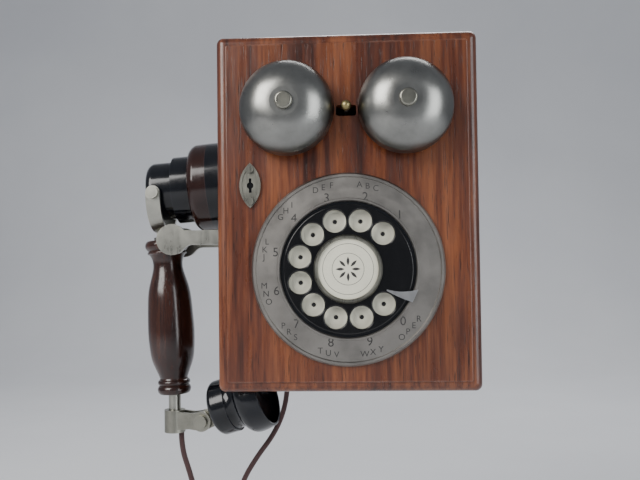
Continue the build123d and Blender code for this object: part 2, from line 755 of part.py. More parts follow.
# ---------------------------------------------------------------- the handset
def receiver():
    shell_end, ring_end, cap_end = 21.6, 34.2, 48.4
    with BuildPart() as receiver_shell:
        with BuildSketch(receiver_section):
            with BuildLine():
                Polyline(
                    (-7, 0), (-7, dome_r), (10.5, dome_r), (10.5, barrel_r),
                    (shell_end, barrel_r), (shell_end, 16.3), (-4.5, 16.3), (-4.5, 0), close=True,
                )
            make_face()
        revolve(axis=receiver_axis)
        back = receiver_shell.edges().filter_by(GeomType.CIRCLE).sort_by(receiver_axis)
        fillet([e for e in back if abs(e.radius - dome_r) < 0.01][0], 5)
        for side in (-1, 1):
            start = (receiver_x, hang_y, receiver_z)
            end = (receiver_x, hang_y + side * 25, receiver_z)
            rod(yoke_pin_r + fit, start, end, mode=Mode.SUBTRACT)
    save(receiver_shell, "receiver_shell")

    with BuildPart() as receiver_ring:
        with BuildSketch(receiver_section):
            with BuildLine():
                face = Line((shell_end, receiver_bore_r), (shell_end, 23))
                flare = ThreePointArc(face @ 1, (23.2, 26.4), (26.5, cap_r - 0.3))
                top = Line(flare @ 1, (ring_end, cap_r))
                end = Line(top @ 1, (ring_end, receiver_bore_r))
                Line(end @ 1, face @ 0)
            make_face()
        revolve(axis=receiver_axis)
    save(receiver_ring, "receiver_ring")

    with BuildPart() as ear_cap:
        with BuildSketch(receiver_section):
            with BuildLine():
                Polyline(
                    (ring_end, receiver_bore_r), (ring_end, cap_r), (cap_end - 3, cap_r),
                    (cap_end, cap_r - 4), (cap_end, cap_r - 6.5), (cap_end - 5, 5), (ring_end + 6, 5),
                    (ring_end + 6, receiver_bore_r), close=True,
                )
            make_face()
        revolve(axis=receiver_axis)
    save(ear_cap, "ear_cap")

    with BuildPart() as receiver_capsule:
        with BuildSketch(receiver_section):
            Polygon((24, 0), (24, 16.8), (39.9, 16.8), (39.9, 0), align=None)
        revolve(axis=receiver_axis)
    save(receiver_capsule, "receiver_capsule")


def receiver_yoke():
    """A U strap round the receiver's dome, on a stem that stands on the handle."""
    top_x, top_z = handle_top
    with BuildPart() as receiver_yoke:
        with BuildSketch(Plane.YZ.offset(receiver_x - yoke_wide / 2)):
            with Locations((hang_y, receiver_z)):
                Circle(yoke_r)
                Circle(yoke_r - yoke_thick, mode=Mode.SUBTRACT)
            with Locations((hang_y, receiver_z + 30)):
                Rectangle(60, 60, mode=Mode.SUBTRACT)
        extrude(amount=yoke_wide)
        for side in (-1, 1):
            face = hang_y + side * yoke_r if side > 0 else hang_y - yoke_r + yoke_thick
            with BuildSketch(facing(face)):
                with Locations((receiver_x, receiver_z)):
                    Circle(yoke_wide / 2)
            extrude(amount=yoke_thick)
        stem_z = (top_z + 0.8, receiver_z - yoke_r + 1.2)
        box((receiver_x - 3, top_x + 4), (hang_y - 4, hang_y + 4), stem_z)
        foot = handle_section.from_local_coords((-2.4, 0, 0))
        rod(8, (top_x, hang_y, top_z), foot)
        for side in (-1, 1):
            end = (receiver_x, hang_y + side * 25, receiver_z)
            rod(yoke_pin_r, (receiver_x, hang_y, receiver_z), end, mode=Mode.SUBTRACT)
    save(receiver_yoke, "receiver_yoke")
    with BuildPart() as yoke_screws:
        for side in (-1, 1):
            under = hang_y + side * yoke_r
            start = (receiver_x, hang_y + side * 15.6, receiver_z)
            rod(yoke_pin_r, start, (receiver_x, under, receiver_z))
            rod(3.8, (receiver_x, under, receiver_z), (receiver_x, under + side * 1.8, receiver_z))
    save(yoke_screws, "yoke_screws")


def handle():
    """Turned wooden grip: a bead at the top, a waist, a belly with two grooves and a foot bead."""
    with BuildPart() as handle:
        with BuildSketch(handle_section):
            with BuildLine():
                top = Line((0, 0), (0, 12.6))
                bead = ThreePointArc(top @ 1, (3, 14), (6.2, 12.4))
                drop = Line(bead @ 1, (6.8, 11.9))
                ring = ThreePointArc(drop @ 1, (7.8, 12.7), (8.8, 11.6))
                belly = Spline(
                    ring @ 1, (12.5, 9.8), (28, 12.3), (47, 14.5), (60, 14.9), (71, 14.3),
                    (78, 13.2), (83.5, 11.2), (89.5, 8.9),
                )
                neck = Line(belly @ 1, (90.4, 9.2))
                low = ThreePointArc(neck @ 1, (92.2, 10.4), (94, 9.4))
                foot = ThreePointArc(low @ 1, (95.8, 10.6), (handle_long, 9.4))
                end = Line(foot @ 1, (handle_long, 0))
                Line(end @ 1, top @ 0)
            make_face()
        revolve(axis=handle_axis)
        for at in (68.8, 71.4):
            with BuildSketch(handle_section):
                with Locations((at, 14.7)):
                    Circle(0.7)
            revolve(axis=handle_axis, mode=Mode.SUBTRACT)
    save(handle, "handle")


def across(distance):
    """A point on the transmitter's pivot axis, that far in front of the clamp's middle plane."""
    return clamp_plane.from_local_coords((pivot_reach, pivot_z, distance))


def stem_and_clamp():
    x = handle_foot[0]
    with BuildPart() as stem_tube:
        rod(stem_r, (x, hang_y, clamp_foot + 3), (x, hang_y, handle_foot[1] - 0.4))
    save(stem_tube, "stem_tube")

    half = lug_thick / 2 + 0.3
    out = half + ear_thick
    with BuildPart() as stem_clamp:
        rod(clamp_r, (x, hang_y, clamp_foot), (x, hang_y, clamp_top))
        for offset in (half, -out):
            with BuildSketch(clamp_plane.offset(offset)):
                Polygon(
                    (0, pivot_z + 6.2),
                    (pivot_reach - 8, pivot_z + 5),
                    (pivot_reach, pivot_z + 6),
                    (pivot_reach, pivot_z - 6),
                    (pivot_reach - 8, pivot_z - 5),
                    (0, pivot_z - 6.2),
                    align=None,
                )
                with Locations((pivot_reach, pivot_z)):
                    Circle(ear_r)
            extrude(amount=ear_thick)
        rod(stem_r, (x, hang_y, clamp_foot + 3), (x, hang_y, clamp_top + 2), mode=Mode.SUBTRACT)
        rod(clamp_pin_r, across(-8), across(8), mode=Mode.SUBTRACT)
    save(stem_clamp, "stem_clamp")

    with BuildPart() as clamp_screw:
        rod(clamp_pin_r, across(-out), across(out))
        rod(4.2, across(out), across(out + 2))
        rod(3.8, across(-out), across(-out - 2.2))
    save(clamp_screw, "clamp_screw")


def transmitter():
    """The transmitter: a lug in the clamp, a cup and a deep mouthpiece on a neck."""
    back, cup_end, neck_end, rim = 11, 23, 30, 46.3
    with BuildPart() as transmitter_lug:
        with BuildSketch(clamp_plane.offset(-lug_thick / 2)):
            with Locations((pivot_reach, pivot_z)):
                Circle(6)
        extrude(amount=lug_thick)
        with BuildSketch(mouth_section.offset(-lug_thick / 2)):
            with Locations((back / 2, -mouth_rise)):
                Rectangle(back, 11)
        extrude(amount=lug_thick)
        rod(clamp_pin_r + fit, across(-5), across(5), mode=Mode.SUBTRACT)
    save(transmitter_lug, "transmitter_lug")

    with BuildPart() as transmitter_cup:
        with BuildSketch(mouth_section):
            with BuildLine():
                flat = Line((back, 0), (back, cup_r - 4))
                shoulder = ThreePointArc(flat @ 1, (back + 0.9, cup_r - 1.3), (back + 3.4, cup_r))
                side = Line(shoulder @ 1, (cup_end, cup_r))
                lip = Line(side @ 1, (cup_end, cup_r - 2.4))
                inner = Line(lip @ 1, (back + 3, cup_r - 2.4))
                floor = Line(inner @ 1, (back + 3, 0))
                Line(floor @ 1, flat @ 0)
            make_face()
        revolve(axis=mouth_axis)
    save(transmitter_cup, "transmitter_cup")

    with BuildPart() as transmitter_capsule:
        with BuildSketch(mouth_section):
            Polygon((14.5, 0), (14.5, cup_r - 2.7), (cup_end, cup_r - 2.7), (cup_end, 0), align=None)
        revolve(axis=mouth_axis)
    save(transmitter_capsule, "transmitter_capsule")

    with BuildPart() as mouthpiece:
        with BuildSketch(mouth_section):
            with BuildLine():
                base = Line((cup_end, 0), (cup_end, cup_r - 1.2))
                neck = ThreePointArc(base @ 1, (neck_end - 4, 16), (neck_end - 0.6, 17))
                flare = ThreePointArc(neck @ 1, (neck_end + 3, 21), (neck_end + 6, mouth_r))
                side = ThreePointArc(flare @ 1, (rim - 5, mouth_r - 0.3), (rim - 0.5, mouth_r - 1.3))
                lip = Line(side @ 1, (rim, mouth_r - 1.9))
                edge = Line(lip @ 1, (rim - 0.3, mouth_r - 2.8))
                bell = ThreePointArc(edge @ 1, (rim - 7, mouth_r - 2.6), (rim - 13.2, 11))
                floor = Line(bell @ 1, (rim - 13.6, 0))
                Line(floor @ 1, base @ 0)
            make_face()
        revolve(axis=mouth_axis)
        face_centre = mouth_section.from_local_coords((rim - 12, 0, 0))
        with BuildSketch(Plane(face_centre, z_dir=mouth_axis.direction)):
            Circle(1.2)
            with PolarLocations(4, 6):
                Circle(1.2)
            with PolarLocations(8, 12):
                Circle(1.2)
        extrude(amount=cup_end - rim + 14, mode=Mode.SUBTRACT)
    save(mouthpiece, "mouthpiece")


# ---------------------------------------------------------------- the handset cord
def handset_cord():
    """A plain cord from the foot of the clamp, in one hanging loop, to the grommet in the case."""
    points = [Vector(*p) for p in cord_route]
    runs = [b - a for a, b in zip(points, points[1:])]
    turns = [a.get_angle(b) for a, b in zip(runs, runs[1:])]
    radii = [
        0.45 * min(a.length, b.length) / math.tan(math.radians(turn) / 2)
        for a, b, turn in zip(runs, runs[1:], turns)
    ]
    with BuildPart() as handset_cord:
        with BuildLine() as path:
            FilletPolyline(*points, radius=radii)
        with BuildSketch(Plane(points[0], z_dir=runs[0])):
            Circle(cord_r)
        sweep(path=path.wire())
    print("cord length", round(path.wire().length, 1), "tightest bend", round(min(radii), 1))
    save(handset_cord, "handset_cord")


os.makedirs("parts", exist_ok=True)
for make in (
    case_side_left,
    case_side_right,
    case_ends,
    back_board,
    cord_grommet,
    hinges,
    case_screws,
    door_catch,
    hook_slot_plate,
    hook_bracket,
    hook_fork,
    contact_pile,
    electrical_parts,
    door_panel,
    keyhole_plate,
    gongs,
    ringer,
    number_ring,
    dial_housing,
    finger_wheel,
    dial_hub,
    dial_gears,
    finger_stop,
    receiver,
    receiver_yoke,
    handle,
    stem_and_clamp,
    transmitter,
    handset_cord,
):
    make()
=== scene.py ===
import json
import math

import bmesh
import bpy
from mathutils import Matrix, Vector


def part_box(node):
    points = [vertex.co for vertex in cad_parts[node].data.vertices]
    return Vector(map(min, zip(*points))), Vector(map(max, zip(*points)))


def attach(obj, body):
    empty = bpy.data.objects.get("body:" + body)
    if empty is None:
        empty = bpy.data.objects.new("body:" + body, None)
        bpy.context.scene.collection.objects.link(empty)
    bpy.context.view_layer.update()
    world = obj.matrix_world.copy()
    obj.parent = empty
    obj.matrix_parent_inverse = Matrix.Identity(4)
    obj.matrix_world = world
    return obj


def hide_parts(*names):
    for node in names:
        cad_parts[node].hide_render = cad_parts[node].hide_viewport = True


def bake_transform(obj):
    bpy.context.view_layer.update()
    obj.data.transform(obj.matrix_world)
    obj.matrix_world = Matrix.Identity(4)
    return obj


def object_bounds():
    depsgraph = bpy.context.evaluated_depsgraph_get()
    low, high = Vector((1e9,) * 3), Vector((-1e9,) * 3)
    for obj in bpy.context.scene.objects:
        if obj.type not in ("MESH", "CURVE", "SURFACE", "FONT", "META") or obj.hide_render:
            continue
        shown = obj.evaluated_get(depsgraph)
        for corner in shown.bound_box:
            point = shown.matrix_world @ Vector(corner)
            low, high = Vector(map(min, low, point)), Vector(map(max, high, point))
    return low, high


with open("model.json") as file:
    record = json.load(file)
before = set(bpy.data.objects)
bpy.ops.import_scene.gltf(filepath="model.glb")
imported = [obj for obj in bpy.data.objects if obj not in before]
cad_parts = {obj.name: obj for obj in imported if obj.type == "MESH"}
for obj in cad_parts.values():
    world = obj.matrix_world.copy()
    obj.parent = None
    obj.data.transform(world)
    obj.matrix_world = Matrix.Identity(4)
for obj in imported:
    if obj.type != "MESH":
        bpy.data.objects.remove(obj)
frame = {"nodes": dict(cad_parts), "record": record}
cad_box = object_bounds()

MM = 0.001
nodes = frame["nodes"]
record = frame["record"]


# ---------------------------------------------------------------- camera, floor and lights
def add_object(name, data):
    thing = bpy.data.objects.new(name, data)
    bpy.context.scene.collection.objects.link(thing)
    return thing


def add_camera():
    data = bpy.data.cameras.new("camera")
    data.lens = 38.5
    data.sensor_width = 36
    data.shift_y = 0.0386
    data.clip_start = 0.01
    camera = add_object("camera", data)
    camera.location = (0.0023, -0.490, -0.042)
    camera.rotation_euler = (math.radians(91.7), math.radians(0.7), math.radians(2.7))
    bpy.context.scene.camera = camera


def add_softbox(name, place, aim, width, height, power, tint=(1, 1, 1)):
    data = bpy.data.lights.new(name, "AREA")
    data.shape = "RECTANGLE"
    data.size = width
    data.size_y = height
    data.energy = power
    data.color = tint
    light = add_object(name, data)
    light.location = place
    light.rotation_euler = (Vector(aim) - Vector(place)).to_track_quat("-Z", "Y").to_euler()
    light.visible_camera = False


def add_studio():
    """A pale floor that curves up into a pale backdrop far behind, soft lights and a pale sky."""
    low = cad_box[0].z - 0.02
    half, back, rise, bend = 4.0, 2.2, 3.0, 0.8
    profile = [(-half, low), (back - bend, low)]
    for step in range(1, 13):
        turn = math.radians(90 * step / 12)
        profile.append((back - bend + bend * math.sin(turn), low + bend - bend * math.cos(turn)))
    profile.append((back, low + rise))
    mesh = bpy.data.meshes.new("floor")
    points = [(x, y, z) for y, z in profile for x in (-half, half)]
    faces = [(2 * i, 2 * i + 1, 2 * i + 3, 2 * i + 2) for i in range(len(profile) - 1)]
    mesh.from_pydata(points, [], faces)
    mesh.shade_smooth()
    floor = add_object("floor", mesh)
    mesh.materials.append(PAINTS["floor"])

    world = bpy.data.worlds.new("world")
    world.use_nodes = True
    sky = world.node_tree.nodes["Background"]
    sky.inputs["Color"].default_value = (0.80, 0.84, 0.92, 1)
    sky.inputs["Strength"].default_value = 0.30
    bpy.context.scene.world = world
    add_softbox("key", (-0.95, -1.15, 0.75), (0, 0, 0), 0.9, 0.9, 24, (1, 0.98, 0.95))
    add_softbox("fill", (1.15, -1.0, 0.15), (0, 0, 0), 0.8, 1.2, 13, (0.95, 0.98, 1))
    add_softbox("low", (-0.05, -0.95, -1.0), (0, 0, 0), 1.3, 0.5, 9, (1, 0.99, 0.96))
    add_softbox("back", (0.3, 1.3, 1.4), (0, 0, 0), 1.2, 0.8, 20)


# ---------------------------------------------------------------- the handset cord
CORD_DIAMETER = 0.0036
CORD_ROUTE = [
    (-0.1103, -0.045, -0.1364),
    (-0.1103, -0.045, -0.147),
    (-0.105, -0.0447, -0.163),
    (-0.0995, -0.0435, -0.185),
    (-0.098, -0.042, -0.21),
    (-0.0986, -0.0405, -0.235),
    (-0.0982, -0.039, -0.255),
    (-0.094, -0.036, -0.2695),
    (-0.0864, -0.0296, -0.2773),
    (-0.0755, -0.0227, -0.2746),
    (-0.071, -0.0189, -0.262),
    (-0.0735, -0.018, -0.24),
    (-0.078, -0.0175, -0.219),
    (-0.0796, -0.017, -0.198),
    (-0.076, -0.0165, -0.178),
    (-0.0655, -0.016, -0.1605),
    (-0.053, -0.0155, -0.1445),
    (-0.0455, -0.015, -0.1275),
    (-0.043, -0.015, -0.108),
    (-0.043, -0.015, -0.09),
]


def spline_points(route, resolution):
    """Points along the smooth curve that has the route's points as its control points."""
    curve = bpy.data.curves.new("cord_line", "CURVE")
    curve.dimensions = "3D"
    spline = curve.splines.new("NURBS")
    spline.points.add(len(route) - 1)
    for point, place in zip(spline.points, route):
        point.co = (*place, 1)
    spline.order_u = 3
    spline.use_endpoint_u = True
    spline.resolution_u = resolution
    holder = add_object("cord_line", curve)
    mesh = bpy.data.meshes.new_from_object(holder)
    points = [vertex.co.copy() for vertex in mesh.vertices]
    bpy.data.objects.remove(holder)
    bpy.data.curves.remove(curve)
    bpy.data.meshes.remove(mesh)
    return points


def tube(name, points, around, radius_at):
    """A closed tube along the points; radius_at(length along, angle) gives its surface."""
    mesh = bmesh.new()
    along = 0
    side = Vector((0, 1, 0))
    rings = []
    for i, point in enumerate(points):
        ahead = (points[min(i + 1, len(points) - 1)] - points[max(i - 1, 0)]).normalized()
        side = (side - ahead * side.dot(ahead)).normalized()
        other = ahead.cross(side)
        if i:
            along += (point - points[i - 1]).length
        ring = []
        for step in range(around):
            angle = 2 * math.pi * step / around
            radius = radius_at(along, angle)
            out = side * math.cos(angle) + other * math.sin(angle)
            ring.append(mesh.verts.new(point + out * radius))
        rings.append(ring)
    for first, second in zip(rings, rings[1:]):
        for step in range(around):
            after = (step + 1) % around
            mesh.faces.new((first[step], first[after], second[after], second[step]))
    mesh.faces.new(rings[0][::-1])
    mesh.faces.new(rings[-1])
    bmesh.ops.recalc_face_normals(mesh, faces=mesh.faces)
    return finish_mesh(name, mesh)


def finish_mesh(name, mesh, smooth=True):
    data = bpy.data.meshes.new(name)
    mesh.to_mesh(data)
    mesh.free()
    if smooth:
        data.shade_smooth()
    return add_object(name, data)


def add_cord():
    """The braided cord: sixteen strands, eight each way, over and under each other."""
    strands, pitch = 8, 0.011

    def surface(along, angle):
        turn = 2 * math.pi * along / pitch
        right = math.cos(strands * angle / 2 + turn)
        left = math.cos(strands * angle / 2 - turn)
        return CORD_DIAMETER / 2 - 0.00009 * (1 - max(abs(right), abs(left)))

    centre = spline_points(CORD_ROUTE, 48)
    cord = tube("cord", centre, 32, surface)
    cord.data.materials.append(PAINTS["cord_cloth"])
    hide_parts("handset_cord")
    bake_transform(cord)


# ---------------------------------------------------------------- materials
def rgba(colour):
    return (*colour, 1) if isinstance(colour, tuple) else (colour, colour, colour, 1)


class Paint:
    """A procedural material. Each method adds nodes to it and gives the socket of their result."""

    def __init__(self, name, **shader):
        self.material = bpy.data.materials.new(name)
        self.material.use_nodes = True
        self.tree = self.material.node_tree
        self.shader = self.tree.nodes["Principled BSDF"]
        self.place = self.add("TexCoord").outputs["Object"]
        self.put(**shader)

    def set(self, node, values):
        for name, value in values.items():
            socket = node.inputs[name]
            if isinstance(value, bpy.types.NodeSocket):
                self.tree.links.new(value, socket)
            else:
                socket.default_value = value

    def put(self, **shader):
        self.set(self.shader, {name.replace("_", " "): value for name, value in shader.items()})

    def add(self, kind, values=None, **settings):
        node = self.tree.nodes.new("ShaderNode" + kind)
        for name, value in settings.items():
            setattr(node, name, value)
        self.set(node, values or {})
        return node

    def scaled(self, scale, vector=None, shift=(0, 0, 0)):
        values = {"Vector": vector or self.place, "Scale": scale, "Location": shift}
        return self.add("Mapping", values).outputs[0]

    def noise(self, scale, detail=4.0, roughness=0.55, vector=None, shift=(0, 0, 0)):
        values = {
            "Vector": self.scaled(scale, vector, shift),
            "Scale": 1.0,
            "Detail": detail,
            "Roughness": roughness,
        }
        return self.add("TexNoise", values).outputs["Fac"]

    def warped(self, scale, reach):
        """The place, moved about by up to reach in each direction, by a noise of that scale."""
        values = {"Vector": self.scaled(scale), "Scale": 1.0, "Detail": 2.0}
        shift = self.add("TexNoise", values).outputs["Color"]
        centred = self.add("VectorMath", {0: shift, 1: (0.5, 0.5, 0.5)}, operation="SUBTRACT")
        values = {0: centred.outputs[0], 1: reach, 2: self.place}
        return self.add("VectorMath", values, operation="MULTIPLY_ADD").outputs[0]

    def math(self, operation, a, b=0.0):
        return self.add("Math", {0: a, 1: b}, operation=operation).outputs[0]

    def span(self, value, low, high, to_low=0.0, to_high=1.0):
        names = ("Value", "From Min", "From Max", "To Min", "To Max")
        values = dict(zip(names, (value, low, high, to_low, to_high)))
        return self.add("MapRange", values, clamp=True).outputs[0]

    def ramp(self, factor, *stops):
        node = self.add("ValToRGB", {"Fac": factor})
        elements = node.color_ramp.elements
        for element, (position, colour) in zip(elements, (stops[0], stops[-1])):
            element.position = position
            element.color = rgba(colour)
        for position, colour in stops[1:-1]:
            elements.new(position).color = rgba(colour)
        return node.outputs["Color"]

    def mix(self, factor, a, b, blend="MIX"):
        a, b = (v if isinstance(v, bpy.types.NodeSocket) else rgba(v) for v in (a, b))
        values = {0: factor, 6: a, 7: b}
        return self.add("Mix", values, data_type="RGBA", blend_type=blend).outputs[2]

    def parts(self, vector=None):
        return self.add("SeparateXYZ", {0: vector or self.place}).outputs

    def radius(self, x, z):
        """The distance from an axis along Y through that x and z."""
        values = {0: self.place, 1: (-x, 0, -z)}
        moved = self.add("VectorMath", values, operation="ADD").outputs[0]
        flat = self.add("VectorMath", {0: moved, 1: (1, 0, 1)}, operation="MULTIPLY").outputs[0]
        return self.add("VectorMath", {0: flat}, operation="LENGTH").outputs["Value"]

    def rings(self, radius, per_metre, detail=3.0):
        """A noise that depends only on the radius, as a lathe leaves."""
        values = {0: self.math("MULTIPLY", radius, per_metre)}
        vector = self.add("CombineXYZ", values).outputs[0]
        values = {"Vector": vector, "Scale": 1.0, "Detail": detail}
        return self.add("TexNoise", values).outputs["Fac"]

    def edges(self, reach, low=0.9, high=0.998):
        """1 along sharp edges, 0 away from them."""
        rounded = self.add("Bevel", {"Radius": reach}, samples=4).outputs[0]
        flat = self.add("NewGeometry").outputs["Normal"]
        near = self.add("VectorMath", {0: rounded, 1: flat}, operation="DOT_PRODUCT")
        return self.span(near.outputs["Value"], low, high, 1.0, 0.0)

    def bump(self, height, depth, strength=1.0, under=None):
        values = {"Height": height, "Distance": depth, "Strength": strength}
        if under is not None:
            values["Normal"] = under
        return self.add("Bump", values).outputs[0]


def wood(name, dark, middle, light, grain_along=(1, 1, 0.05), gloss=(0.24, 0.42), worn=0.5):
    """Lacquered wood, its grain along the direction whose scale is small."""
    paint = Paint(name, Coat_Weight=0.35, Coat_Roughness=0.16, Specular_IOR_Level=0.45)
    bent = paint.warped(tuple(26 * s for s in grain_along), (0.004, 0.004, 0.0))
    grain = paint.noise(tuple(330 * s for s in grain_along), 6.0, 0.62, bent)
    figure = paint.noise(tuple(52 * s for s in grain_along), 3.0, 0.5, bent, (7, 3, 1))
    zones = paint.noise((9, 9, 6), 2.0, 0.5, None, (2, 5, 8))
    pores = paint.noise(tuple(1500 * s for s in grain_along), 2.0, 0.5, bent, (1, 9, 4))
    pore = paint.span(pores, 0.60, 0.70)
    half_grain = paint.math("MULTIPLY", grain, 0.5)
    value = paint.math("ADD", half_grain, paint.math("MULTIPLY", figure, 0.5))
    colour = paint.ramp(value, (0.36, dark), (0.49, middle), (0.62, light))
    shaded = paint.mix(paint.span(zones, 0.35, 0.68, 0.0, 0.55), colour, dark, "MULTIPLY")
    colour = paint.mix(paint.span(zones, 0.4, 0.7, 0.0, 0.6), colour, shaded)
    colour = paint.mix(paint.math("MULTIPLY", pore, 0.65), colour, tuple(0.3 * c for c in dark))
    edge_lightening = paint.math("MULTIPLY", paint.edges(0.0012), paint.span(paint.noise((60, 60, 20)), 0.35, 0.6))
    pale = tuple(min(1.0, 0.12 + 1.25 * c) for c in light)
    colour = paint.mix(paint.math("MULTIPLY", edge_lightening, worn), colour, pale)
    height = paint.math("SUBTRACT", paint.math("MULTIPLY", grain, 0.5), pore)
    paint.put(
        Base_Color=colour,
        Roughness=paint.span(paint.noise((140, 140, 30), 4.0), 0.3, 0.7, *gloss),
        Normal=paint.bump(height, 0.00006, 0.6),
    )
    return paint


def brushed(name, colour, tone=0.25, gloss=(0.26, 0.42), scratch=(1400, 1400, 90), edge_highlight=0.35):
    """Metal with fine scratches, patches of tarnish and a painted highlight along its sharp edges."""
    paint = Paint(name, Metallic=1.0)
    lines = paint.noise(scratch, 3.0, 0.6)
    patches = paint.noise((85, 85, 85), 5.0, 0.6)
    low = tuple(c * (1 - tone) for c in colour)
    high = tuple(min(1.0, c * (1 + 0.55 * tone)) for c in colour)
    base = paint.ramp(paint.span(patches, 0.3, 0.7), (0.0, low), (0.55, colour), (1.0, high))
    base = paint.mix(paint.span(lines, 0.35, 0.75, 0.0, 0.22), base, high)
    # painted highlight: a paler band along every sharp edge
    highlight_tint = tuple(min(1.0, c * 1.5 + 0.05) for c in colour)
    base = paint.mix(paint.math("MULTIPLY", paint.edges(0.0005), edge_highlight), base, highlight_tint)
    rough = paint.math("ADD", paint.math("MULTIPLY", lines, 0.5), paint.math("MULTIPLY", patches, 0.5))
    paint.put(
        Base_Color=base,
        Roughness=paint.span(rough, 0.35, 0.65, *gloss),
        Normal=paint.bump(lines, 0.00002, 0.5),
    )
    return paint


def spun(name, colour, centre, gloss=(0.3, 0.4), line=2600, rim_shade=None, depth=0.000012):
    """Metal turned or brushed round an axis along Y through the centre."""
    paint = Paint(name, Metallic=1.0)
    radius = paint.radius(*centre)
    fine = paint.rings(radius, line)
    broad = paint.rings(radius, line / 14, 2.0)
    patches = paint.noise((70, 70, 70), 5.0, 0.62)
    specks = paint.span(paint.noise((900, 900, 900), 3.0), 0.62, 0.75)
    low = tuple(c * 0.8 for c in colour)
    high = tuple(min(1.0, c * 1.14) for c in colour)
    base = paint.ramp(paint.span(patches, 0.3, 0.7), (0.0, low), (0.5, colour), (1.0, high))
    base = paint.mix(paint.span(fine, 0.3, 0.7, 0.0, 0.3), base, high)
    base = paint.mix(paint.math("MULTIPLY", specks, 0.3), base, low)
    # painted shade: the colour grows darker between the inner and outer radius, towards the rim
    if rim_shade:
        inner, outer = rim_shade
        shade = tuple(c * 0.4 for c in colour)
        base = paint.mix(paint.span(radius, inner, outer, 0.0, 0.55), base, shade)
    # painted highlight: a paler band along every sharp edge
    highlight_tint = tuple(min(1.0, c * 1.5 + 0.05) for c in colour)
    base = paint.mix(paint.math("MULTIPLY", paint.edges(0.0005), 0.45), base, highlight_tint)
    rough = paint.math("ADD", paint.math("MULTIPLY", broad, 0.4), paint.math("MULTIPLY", patches, 0.6))
    paint.put(
        Base_Color=base,
        Roughness=paint.span(rough, 0.35, 0.65, *gloss),
        Normal=paint.bump(fine, depth, 0.6),
    )
    return paint


def gloss_plastic(name, colour, sheen_colour, gloss=(0.1, 0.22)):
    """Polished moulding: faint swirl marks, dust, patches of painted sheen and a painted highlight along
    its sharp edges.
    """
    paint = Paint(name, Specular_IOR_Level=0.4, Coat_Weight=0.2, Coat_Roughness=0.1)
    smudges_and_sheen = paint.noise((45, 45, 45), 5.0, 0.6)
    marks = paint.noise((260, 2600, 260), 3.0, 0.6)
    dust = paint.span(paint.noise((2600, 2600, 2600), 2.0), 0.70, 0.78)
    # painted sheen: patches of the colour shifted towards the paler sheen colour; the same noise also
    # sets real smudges in the roughness
    base = paint.mix(paint.span(smudges_and_sheen, 0.35, 0.7, 0.0, 0.5), colour, sheen_colour)
    base = paint.mix(paint.math("MULTIPLY", dust, 0.12), base, (0.35, 0.34, 0.33))
    # painted highlight: a paler band along every sharp edge
    pale = tuple(c * 3 + 0.03 for c in sheen_colour)
    base = paint.mix(paint.math("MULTIPLY", paint.edges(0.0005), 0.35), base, pale)
    rough = paint.math("ADD", paint.math("MULTIPLY", smudges_and_sheen, 0.6), paint.math("MULTIPLY", marks, 0.4))
    paint.put(
        Base_Color=base,
        Roughness=paint.span(rough, 0.35, 0.65, *gloss),
        Normal=paint.bump(marks, 0.00001, 0.25),
    )
    return paint


def matte(name, colour, spread=0.12, gloss=(0.5, 0.65), grain=(500, 500, 500), depth=0.00003, edge_lightening=0.2):
    """Moulded or painted surface with mottling, fine grain and a painted highlight along its sharp
    edges.
    """
    paint = Paint(name, Specular_IOR_Level=0.4)
    patches = paint.noise((60, 60, 60), 5.0, 0.6)
    fine = paint.noise(grain, 3.0)
    low = tuple(c * (1 - spread) for c in colour)
    high = tuple(min(1.0, c * (1 + spread)) for c in colour)
    base = paint.ramp(paint.span(patches, 0.3, 0.7), (0.0, low), (0.5, colour), (1.0, high))
    base = paint.mix(paint.span(fine, 0.45, 0.7, 0.0, 0.3), base, low)
    # painted highlight: a paler band along every sharp edge
    base = paint.mix(paint.math("MULTIPLY", paint.edges(0.0004), edge_lightening), base, high)
    paint.put(
        Base_Color=base,
        Roughness=paint.span(fine, 0.35, 0.65, *gloss),
        Normal=paint.bump(fine, depth, 0.5),
    )
    return paint


def cord_paint():
    paint = Paint("cord_cloth", Sheen_Weight=0.35, Sheen_Roughness=0.5)
    threads = paint.noise((2400, 2400, 1300), 3.0, 0.7)
    patches = paint.noise((90, 90, 60), 3.0)
    base = paint.ramp(
        threads,
        (0.3, (0.014, 0.005, 0.005)),
        (0.55, (0.05, 0.015, 0.014)),
        (0.75, (0.11, 0.038, 0.033)),
    )
    base = paint.mix(paint.span(patches, 0.35, 0.7, 0.0, 0.35), base, (0.05, 0.016, 0.016))
    paint.put(
        Base_Color=base,
        Roughness=paint.span(threads, 0.3, 0.7, 0.62, 0.85),
        Normal=paint.bump(threads, 0.00008, 0.7),
    )
    return paint


def winding_paint():
    """Enamelled wire, one turn beside the next."""
    paint = Paint("copper", Metallic=0.85)
    _, _, z = paint.parts()
    turns = paint.math("SINE", paint.math("MULTIPLY", z, 2 * math.pi / 0.0006))
    patches = paint.noise((120, 120, 300), 4.0)
    spread = paint.span(patches, 0.3, 0.7)
    base = paint.ramp(spread, (0.0, (0.33, 0.10, 0.035)), (1.0, (0.62, 0.25, 0.10)))
    base = paint.mix(paint.span(turns, -1.0, -0.3, 0.7, 0.0), base, (0.05, 0.015, 0.008))
    paint.put(Base_Color=base, Roughness=0.32, Normal=paint.bump(turns, 0.0002, 0.8))
    return paint


def plywood_paint():
    paint = wood(
        "back_wood",
        (0.20, 0.115, 0.06),
        (0.36, 0.23, 0.13),
        (0.47, 0.32, 0.19),
        grain_along=(1, 1, 0.04),
        gloss=(0.5, 0.7),
        worn=0.2,
    )
    paint.put(Coat_Weight=0.0)
    return paint


